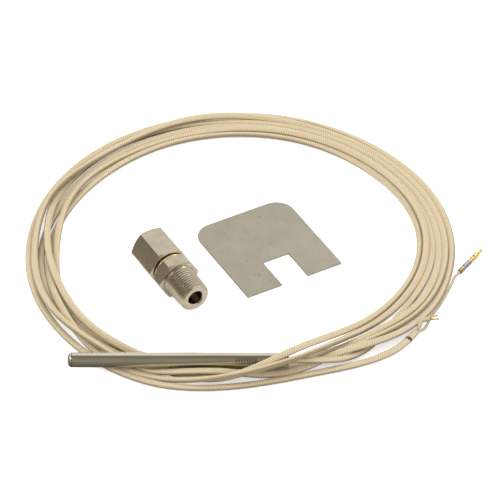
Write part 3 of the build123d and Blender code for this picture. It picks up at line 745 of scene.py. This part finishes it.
def hex_rings(start, end):
    """(x, radius) rings of a hexagon whose ends are chamfered by cones."""
    rings = []
    flats = hex_radius()
    face = HEX_ACROSS_FLATS / 2 - 0.15
    reach = 2.2
    near = np.concatenate([np.linspace(0, reach, 27), np.linspace(reach, (end - start) / 2, 7)[1:-1]])
    for x in np.concatenate([start + near, (end - near)[::-1]]):
        cone = min(face + (x - start) / HEX_CHAMFER_SLOPE, face + (end - x) / HEX_CHAMFER_SLOPE)
        rings.append((x, soft_least(flats, np.full_like(flats, cone), 0.035)))
    return rings


def thread_rings(start, end, crest, depth, pitch, fade_in, fade_out, chamfer):
    """(x, radius) rings of an outside thread; crest gives its radius at a distance along the axis."""
    rings = []
    for x in np.arange(start, end + THREAD_STEP / 2, THREAD_STEP):
        phase = (x / pitch - HEX_TURNS / (2 * np.pi)) % 1
        groove = np.clip(1.12 * (1 - np.abs(2 * phase - 1)) - 0.06, 0, 1)
        begun = ease(x, start + fade_in * 0.3, start + fade_in)
        ended = ease(x, end - fade_out, end - fade_out * 0.3)
        radius = crest(x) - depth * begun * (1 - ended) * groove
        rings.append((x, np.minimum(radius, crest(end) - chamfer + (end - x))))
    return rings


def ring_array(rings):
    """(x, radius) rings as an array (ring, point, 3); a radius is one number or one for each turn."""
    points = []
    for x, radius in rings:
        radius = np.broadcast_to(radius, HEX_TURNS.shape)
        x = np.broadcast_to(x, HEX_TURNS.shape)
        points.append(np.stack([x, radius * np.cos(HEX_TURNS), radius * np.sin(HEX_TURNS)], axis=1))
    return np.array(points)


def make_fitting(material):
    """The nut and the body, on the axis that the nut turns about."""
    heading = math.radians(FITTING_HEADING)
    ahead = np.array([math.cos(heading), math.sin(heading), 0.0])
    on_axis = next(joint for joint in frame["joints"] if joint["name"] == "nut_turn")["pos_m"]
    place = (heading, np.array(on_axis) * 1000 - ahead * NUT_PIVOT_AT)
    make_nut(material, place)
    make_body(material, place)


def make_nut(material, place):
    """A hexagon with a hole for the tube, a seat for the ferrule and a plain bore over the nose."""
    hole, thread = FITTING_BORE / 2, NUT_BORE / 2
    outer = hex_rings(0.0, NUT_LENGTH)
    outer[0] = (0.0, outer[0][1] - 0.05)
    inside = [(NUT_LENGTH, thread + 0.5), (NUT_LENGTH - 0.5, thread), (NUT_SEAT_END + 0.1, thread),
              (NUT_SEAT_END, NUT_SEAT), (NUT_SEAT_AT, NUT_SEAT), (NUT_SEAT_AT - (NUT_SEAT - hole), hole),
              (0.35, hole), (0.0, hole + 0.35)]
    points, faces = skin(ring_array(outer + inside), closed=True)
    nut = new_piece("nut", points, faces, material, place)
    shade(nut, 28.0)
    stands_for(nut, "nut", "compression_nut")


def make_body(material, place):
    """The nose thread, the collar, the hexagon and the tapered pipe thread, round one bore."""
    nose, pipe_end, bore = NOSE_THREAD_DIAMETER / 2, PIPE_END_DIAMETER / 2, FITTING_BORE / 2
    nose_root = nose - 0.6
    nose_thread = thread_rings(NOSE_AT, NOSE_THREAD_END, lambda x: nose, depth=0.5, pitch=NOSE_PITCH,
                               fade_in=0.1, fade_out=0.5, chamfer=0.0)
    nose_thread[:3] = [(x, np.minimum(r, nose_root + (x - NOSE_AT))) for x, r in nose_thread[:3]]
    rings = [(NOSE_AT, nose - 0.72)] + nose_thread
    rings += [(NOSE_THREAD_END + 0.4, nose_root), (COLLAR_AT - 0.04, nose_root), (COLLAR_AT, nose - 0.55)]
    rings += [(COLLAR_AT + ahead, COLLAR_DIAMETER / 2 - drop) for ahead, drop in COLLAR_PROFILE]
    rings += hex_rings(BODY_HEX_AT, PIPE_THREAD_AT)

    def crest(x):
        return pipe_end + PIPE_TAPER / 2 * (FITTING_LENGTH - x)

    rings += [(PIPE_THREAD_AT, crest(PIPE_THREAD_AT) + 0.06)]
    rings += thread_rings(PIPE_THREAD_AT + 0.06, FITTING_LENGTH, crest, depth=0.56, pitch=PIPE_PITCH,
                          fade_in=0.9, fade_out=0.25, chamfer=0.8)
    rings += [(FITTING_LENGTH, pipe_end - 0.95), (FITTING_LENGTH, bore + 0.45),
              (FITTING_LENGTH - 0.08, bore + 0.3), (FITTING_LENGTH - 0.4, bore), (BODY_SEAT_END, bore),
              (NOSE_AT + 0.05, 3.77), (NOSE_AT, 3.83)]
    points, faces = skin(ring_array(rings), closed=True)
    body = new_piece("fitting", points, faces, material, place)
    shade(body, 32.0)
    stands_for(body, "fitting", "fitting_body")


# ---------------------------------------------------------------- the plate
def box_middle_of(outline, heading):
    """Where the middle of an outline's box lies once the outline is turned."""
    turned = [(x * math.cos(heading) - y * math.sin(heading), x * math.sin(heading) + y * math.cos(heading))
              for x, y in outline]
    xs, ys = zip(*turned)
    return (min(xs) + max(xs)) / 2, (min(ys) + max(ys)) / 2


def make_plate(material):
    """A thin plate with two rounded corners and an open slot, its edges slightly worn."""
    low, high = box_mm("mounting_plate")
    middle = (low + high) / 2
    thickness = high[2] - low[2]
    heading = math.radians(PLATE_HEADING)
    half_width, half_depth = PLATE_WIDTH / 2, PLATE_DEPTH / 2
    half_slot, slot_end = SLOT_WIDTH / 2, SLOT_DEPTH - half_depth
    outline = [(half_slot, slot_end), (half_slot, -half_depth), (half_width, -half_depth)]
    for corner_x, start in ((half_width, 0.0), (-half_width, 90.0)):
        centre_x = corner_x - math.copysign(PLATE_CORNER_RADIUS, corner_x)
        for k in range(25):
            turn = math.radians(start + 90 * k / 24)
            outline.append((centre_x + PLATE_CORNER_RADIUS * math.cos(turn),
                            half_depth - PLATE_CORNER_RADIUS + PLATE_CORNER_RADIUS * math.sin(turn)))
    outline += [(-half_width, -half_depth), (-half_slot, -half_depth), (-half_slot, slot_end)]
    offset = box_middle_of(outline, heading)
    points = [(x, y, z) for z in (0.0, thickness) for x, y in outline]
    count = len(outline)
    faces = [list(range(count))[::-1], list(range(count, 2 * count))]
    faces += [[k, (k + 1) % count, (k + 1) % count + count, k + count] for k in range(count)]
    place = (heading, (middle[0] - offset[0], middle[1] - offset[1], low[2]))
    plate = new_piece("plate", points, faces, material, place)
    bevel = plate.modifiers.new("worn edges", "BEVEL")
    bevel.width = PLATE_EDGE_WEAR * 0.001
    bevel.segments = 3
    bevel.limit_method = "ANGLE"
    bevel.angle_limit = math.radians(40)
    bevel.harden_normals = True
    shade(plate, 40.0)
    stands_for(plate, "plate", "mounting_plate")


# ---------------------------------------------------------------- contacts and the other CAD pieces
GOLD, BRASS, NICKEL = color(226, 190, 116), color(158, 136, 84), color(152, 146, 152)
BROWN_GOLD = color(178, 132, 66)
# (distance from the root where a colour starts, colour)
PIN_COLORS = [(0.0, BRASS), (1.3, NICKEL), (6.4, GOLD), (10.7, BROWN_GOLD), (11.1, GOLD), (12.4, BROWN_GOLD)]
SOCKET_COLORS = [(0.0, BROWN_GOLD), (2.6, GOLD), (4.3, BROWN_GOLD)]


def make_socket(root, heading, material):
    """Two slim tines sprung apart, on the stub of the socket's barrel."""
    turn = np.linspace(0, 2 * np.pi, 20, endpoint=False)
    across = np.sign(np.cos(turn)) * np.abs(np.cos(turn)) ** 0.6
    upward = np.sign(np.sin(turn)) * np.abs(np.sin(turn)) ** 0.6
    share = np.linspace(0, 1, 15)
    first, last = SOCKET_TINES
    end = 1 - ease(share, 0.9, 1.05) * 0.6
    bars = [(np.array([[0.05, 0.0], [2.3, 0.0]]), np.full(2, 0.56), np.full(2, 0.56))]
    for side in (1, -1):
        middles = np.stack([first + (last - first) * share, side * (0.4 + 0.52 * share)], axis=1)
        bars.append((middles, 0.27 * (1 - 0.35 * share) * end, 0.3 * (1 - 0.3 * share) * end))

    points, faces = np.empty((0, 3)), []
    for middles, half_widths, half_heights in bars:
        rings = np.stack([np.repeat(middles[:, :1], len(turn), axis=1),
                          middles[:, 1:] + half_widths[:, None] * across,
                          half_heights[:, None] * upward], axis=-1)
        more, quads = skin(rings, capped=True)
        faces += [[corner + len(points) for corner in face] for face in quads]
        points = np.vstack([points, more])
    socket = new_piece("socket_tines", points, faces, material, (heading, root))
    shade(socket, 50.0)
    stands_for(socket, "kit", "socket_contact")


def finish_contacts(contacts):
    """The pin keeps its CAD shape with new plating; the socket is replaced by slimmer tines."""
    root, heading = contacts[PIN_LEG]
    use_material("pin_contact", contact_material("pin plating", root, heading, PIN_COLORS, PIN_WINDOW))
    root, heading = contacts[SOCKET_LEG]
    make_socket(root, heading, contact_material("socket plating", (0.0, 0.0, 0.0), 0.0, SOCKET_COLORS))


def use_material(node, material):
    """Puts one material on a CAD node."""
    NODES[node].data.materials.clear()
    NODES[node].data.materials.append(material)


def finish_cad_nodes():
    """Finishes of the pieces that keep their CAD shapes; most are hidden inside others."""
    alloy = drawn_steel("thermocouple alloy", color(170, 164, 156), color(128, 120, 112), 0.3, 2.0, 0.004)
    bead_metal = grainy("weld bead", color(120, 114, 108), color(60, 52, 48), 2.0, 0.03, 0.5, Metallic=1.0)
    cement = grainy("potting cement", color(206, 198, 184), color(170, 160, 146), 3.0, 0.02)
    seal = grainy("seal cement", color(196, 184, 162), color(150, 136, 112), 3.0, 0.02)
    alumina = grainy("alumina", color(238, 234, 224), color(222, 214, 198), 4.0, 0.008, 0.6)
    bush = grainy("glass bush", color(222, 212, 190), color(190, 174, 142), 5.0, 0.02)
    paint, base, rough = turned_steel("ferrule steel", color(190, 184, 170), color(150, 142, 126), 0.25)
    ferrule = paint.finish(Base_Color=base, Metallic=1.0, Roughness=rough)
    finishes = {"positive_wire": alloy, "negative_wire": alloy, "hot_junction": bead_metal,
                "tip_cement": cement, "rear_seal": seal, "ceramic_beads": alumina,
                "lead_bushing": bush, "ferrule": ferrule}
    for node, material in finishes.items():
        use_material(node, material)


# ---------------------------------------------------------------- floor, lights and camera
# millimetres and degrees
AIM = (-1.39, -0.23, -0.12)      # what the camera looks at
CAMERA_DISTANCE = 1500.0
CAMERA_ELEVATION = 40.0
VIEW_WIDTH = 162.9               # width of the view at the aim
FLOOR_GLOW = 0.55                # how far the floor's shadows are washed out
FRONT_EDGE = (-54.0, -60.0)      # where the floor turns dark in reflections, ahead of the probe
LEFT_EDGE = (-60.0, -90.0)       # and beyond the coil's left side


def make_floor():
    """A white floor with faint shadows, which steel mirrors as darker at the front and the left."""
    floor = new_piece("floor", [(-900, -700, 0), (900, -700, 0), (900, 1400, 0), (-900, 1400, 0)],
                      [[0, 1, 2, 3]], None)
    paint = Paint("studio floor")
    speckle = paint.noise(paint.place_mm(), 0.4, detail=2.0)
    tone = paint.ramp(speckle, [(0.3, (0.93, 0.93, 0.93)), (0.7, (0.95, 0.95, 0.95))])
    seen = paint.node("LightPath", {}, output="Is Camera Ray")
    mirrored = paint.node("LightPath", {}, output="Is Glossy Ray")
    x, y, _ = paint.axes(paint.place_mm())
    in_front = paint.span(y, *FRONT_EDGE, 0.0, 0.9)
    far_left = paint.span(x, *LEFT_EDGE, 0.0, 0.78)
    darkened = paint.math("MULTIPLY", mirrored, paint.math("MAXIMUM", in_front, far_left))
    tone = paint.mix(darkened, tone, (0.1, 0.09, 0.07))
    floor.data.materials[0] = paint.finish(
        Base_Color=tone, Roughness=0.9, Specular_IOR_Level=0.0,
        Emission_Color=(1.0, 1.0, 1.0, 1.0), Emission_Strength=paint.math("MULTIPLY", seen, FLOOR_GLOW))


def make_sky():
    """White all round, with darker zones overhead, low on the left and narrowly in front.

    The zones are only there for reflections, so that polished steel shows dark bands.
    """
    world = bpy.data.worlds.new("studio")
    bpy.context.scene.world = world
    world.use_nodes = True
    sky = Nodes(world.node_tree)
    x, y, z = sky.axes(sky.node("TexCoord", {}, output="Generated"))
    overhead = sky.span(sky.math("MULTIPLY_ADD", y, -0.143, z), 0.79, 0.93, 0.0, 1.0)
    low_left = sky.math("MULTIPLY", sky.span(x, -0.35, -0.7, 0.0, 1.0), sky.span(z, 0.6, 0.35, 0.0, 1.0))
    narrow = sky.span(sky.math("ABSOLUTE", x), 0.5, 0.3, 0.0, 1.0)
    in_front = sky.math("MULTIPLY", sky.span(y, 0.0, -0.3, 0.0, 0.9), narrow)
    dark = sky.math("MAXIMUM", overhead, sky.math("MAXIMUM", low_left, in_front))
    mirrored = sky.math("MULTIPLY", dark, sky.node("LightPath", {}, output="Is Glossy Ray"))
    shades = sky.ramp(mirrored, [(0.0, (1.0, 1.0, 1.0)), (1.0, (0.24, 0.22, 0.18))])
    background = world.node_tree.nodes["Background"]
    sky.put(background.inputs["Color"], shades)
    background.inputs["Strength"].default_value = 1.0


def make_lamps():
    lamps = (
        ("key", (360, 420, 560), 300, 1.2),
        ("fill", (-420, -260, 560), 360, 0.6),
    )
    for name, at, side, watts in lamps:
        lamp = bpy.data.lights.new(name, "AREA")
        lamp.shape = "RECTANGLE"
        lamp.size = lamp.size_y = side * 0.001
        lamp.energy = watts
        holder = bpy.data.objects.new(name, lamp)
        bpy.context.scene.collection.objects.link(holder)
        holder.location = Vector(at) * 0.001
        holder.rotation_euler = (-holder.location).to_track_quat("-Z", "Y").to_euler()


def make_camera():
    lens = bpy.data.cameras.new("camera")
    lens.lens_unit = "FOV"
    lens.angle = 2 * math.atan(VIEW_WIDTH / 2 / CAMERA_DISTANCE)
    lens.clip_start, lens.clip_end = 0.1, 10.0
    camera = bpy.data.objects.new("camera", lens)
    bpy.context.scene.collection.objects.link(camera)
    rise = math.radians(CAMERA_ELEVATION)
    back = Vector((0, -math.cos(rise), math.sin(rise)))
    camera.location = (Vector(AIM) + CAMERA_DISTANCE * back) * 0.001
    camera.rotation_euler = (-back).to_track_quat("-Z", "Y").to_euler()
    bpy.context.scene.camera = camera
    bpy.context.scene.view_settings.view_transform = "Standard"


# ---------------------------------------------------------------- everything
def main():
    # gap is the painted shade colour of the braids, between yarn bands and on the underside
    beige, tan, gap = color(230, 212, 176), color(208, 186, 146), color(100, 72, 36)
    lead_braid = braid_material("glass braid", LEAD_CARRIERS, LEAD_BAND, beige, tan, gap)
    sleeve_braid = braid_material("sleeve braid", SLEEVE_CARRIERS, SLEEVE_BAND, beige, tan, gap)
    # the last colour is painted shade in the crimp strokes, and darkens the nose and the tip's joint
    polished = crimped_tube("polished stainless", color(218, 211, 194), color(200, 192, 172), 0.15,
                            color(64, 50, 32))
    # the collar colour is a painted highlight; the last colour is painted shade in the thread grooves and
    # beside the collar
    machined = fitting_steel("machined stainless", color(198, 188, 166), color(182, 171, 147), 0.24,
                             color(238, 218, 172), color(70, 56, 36))
    sheet = satin_sheet("satin stainless", color(176, 169, 152), color(164, 156, 138), color(104, 95, 78))
    dark_thread = thread_darker_outside("dark thread", color(146, 122, 88), color(52, 42, 30))

    low, high = box_mm("tip_plug")
    tip = np.array([low[0], *(low[1:] + high[1:]) / 2])
    lead, contacts = make_lead(tip, lead_braid, sleeve_braid)
    make_mouth_wrap(lead, dark_thread)
    make_probe(tip, polished)
    make_fitting(machined)
    make_plate(sheet)
    finish_contacts(contacts)
    finish_cad_nodes()
    make_floor()
    make_sky()
    make_lamps()
    make_camera()


main()
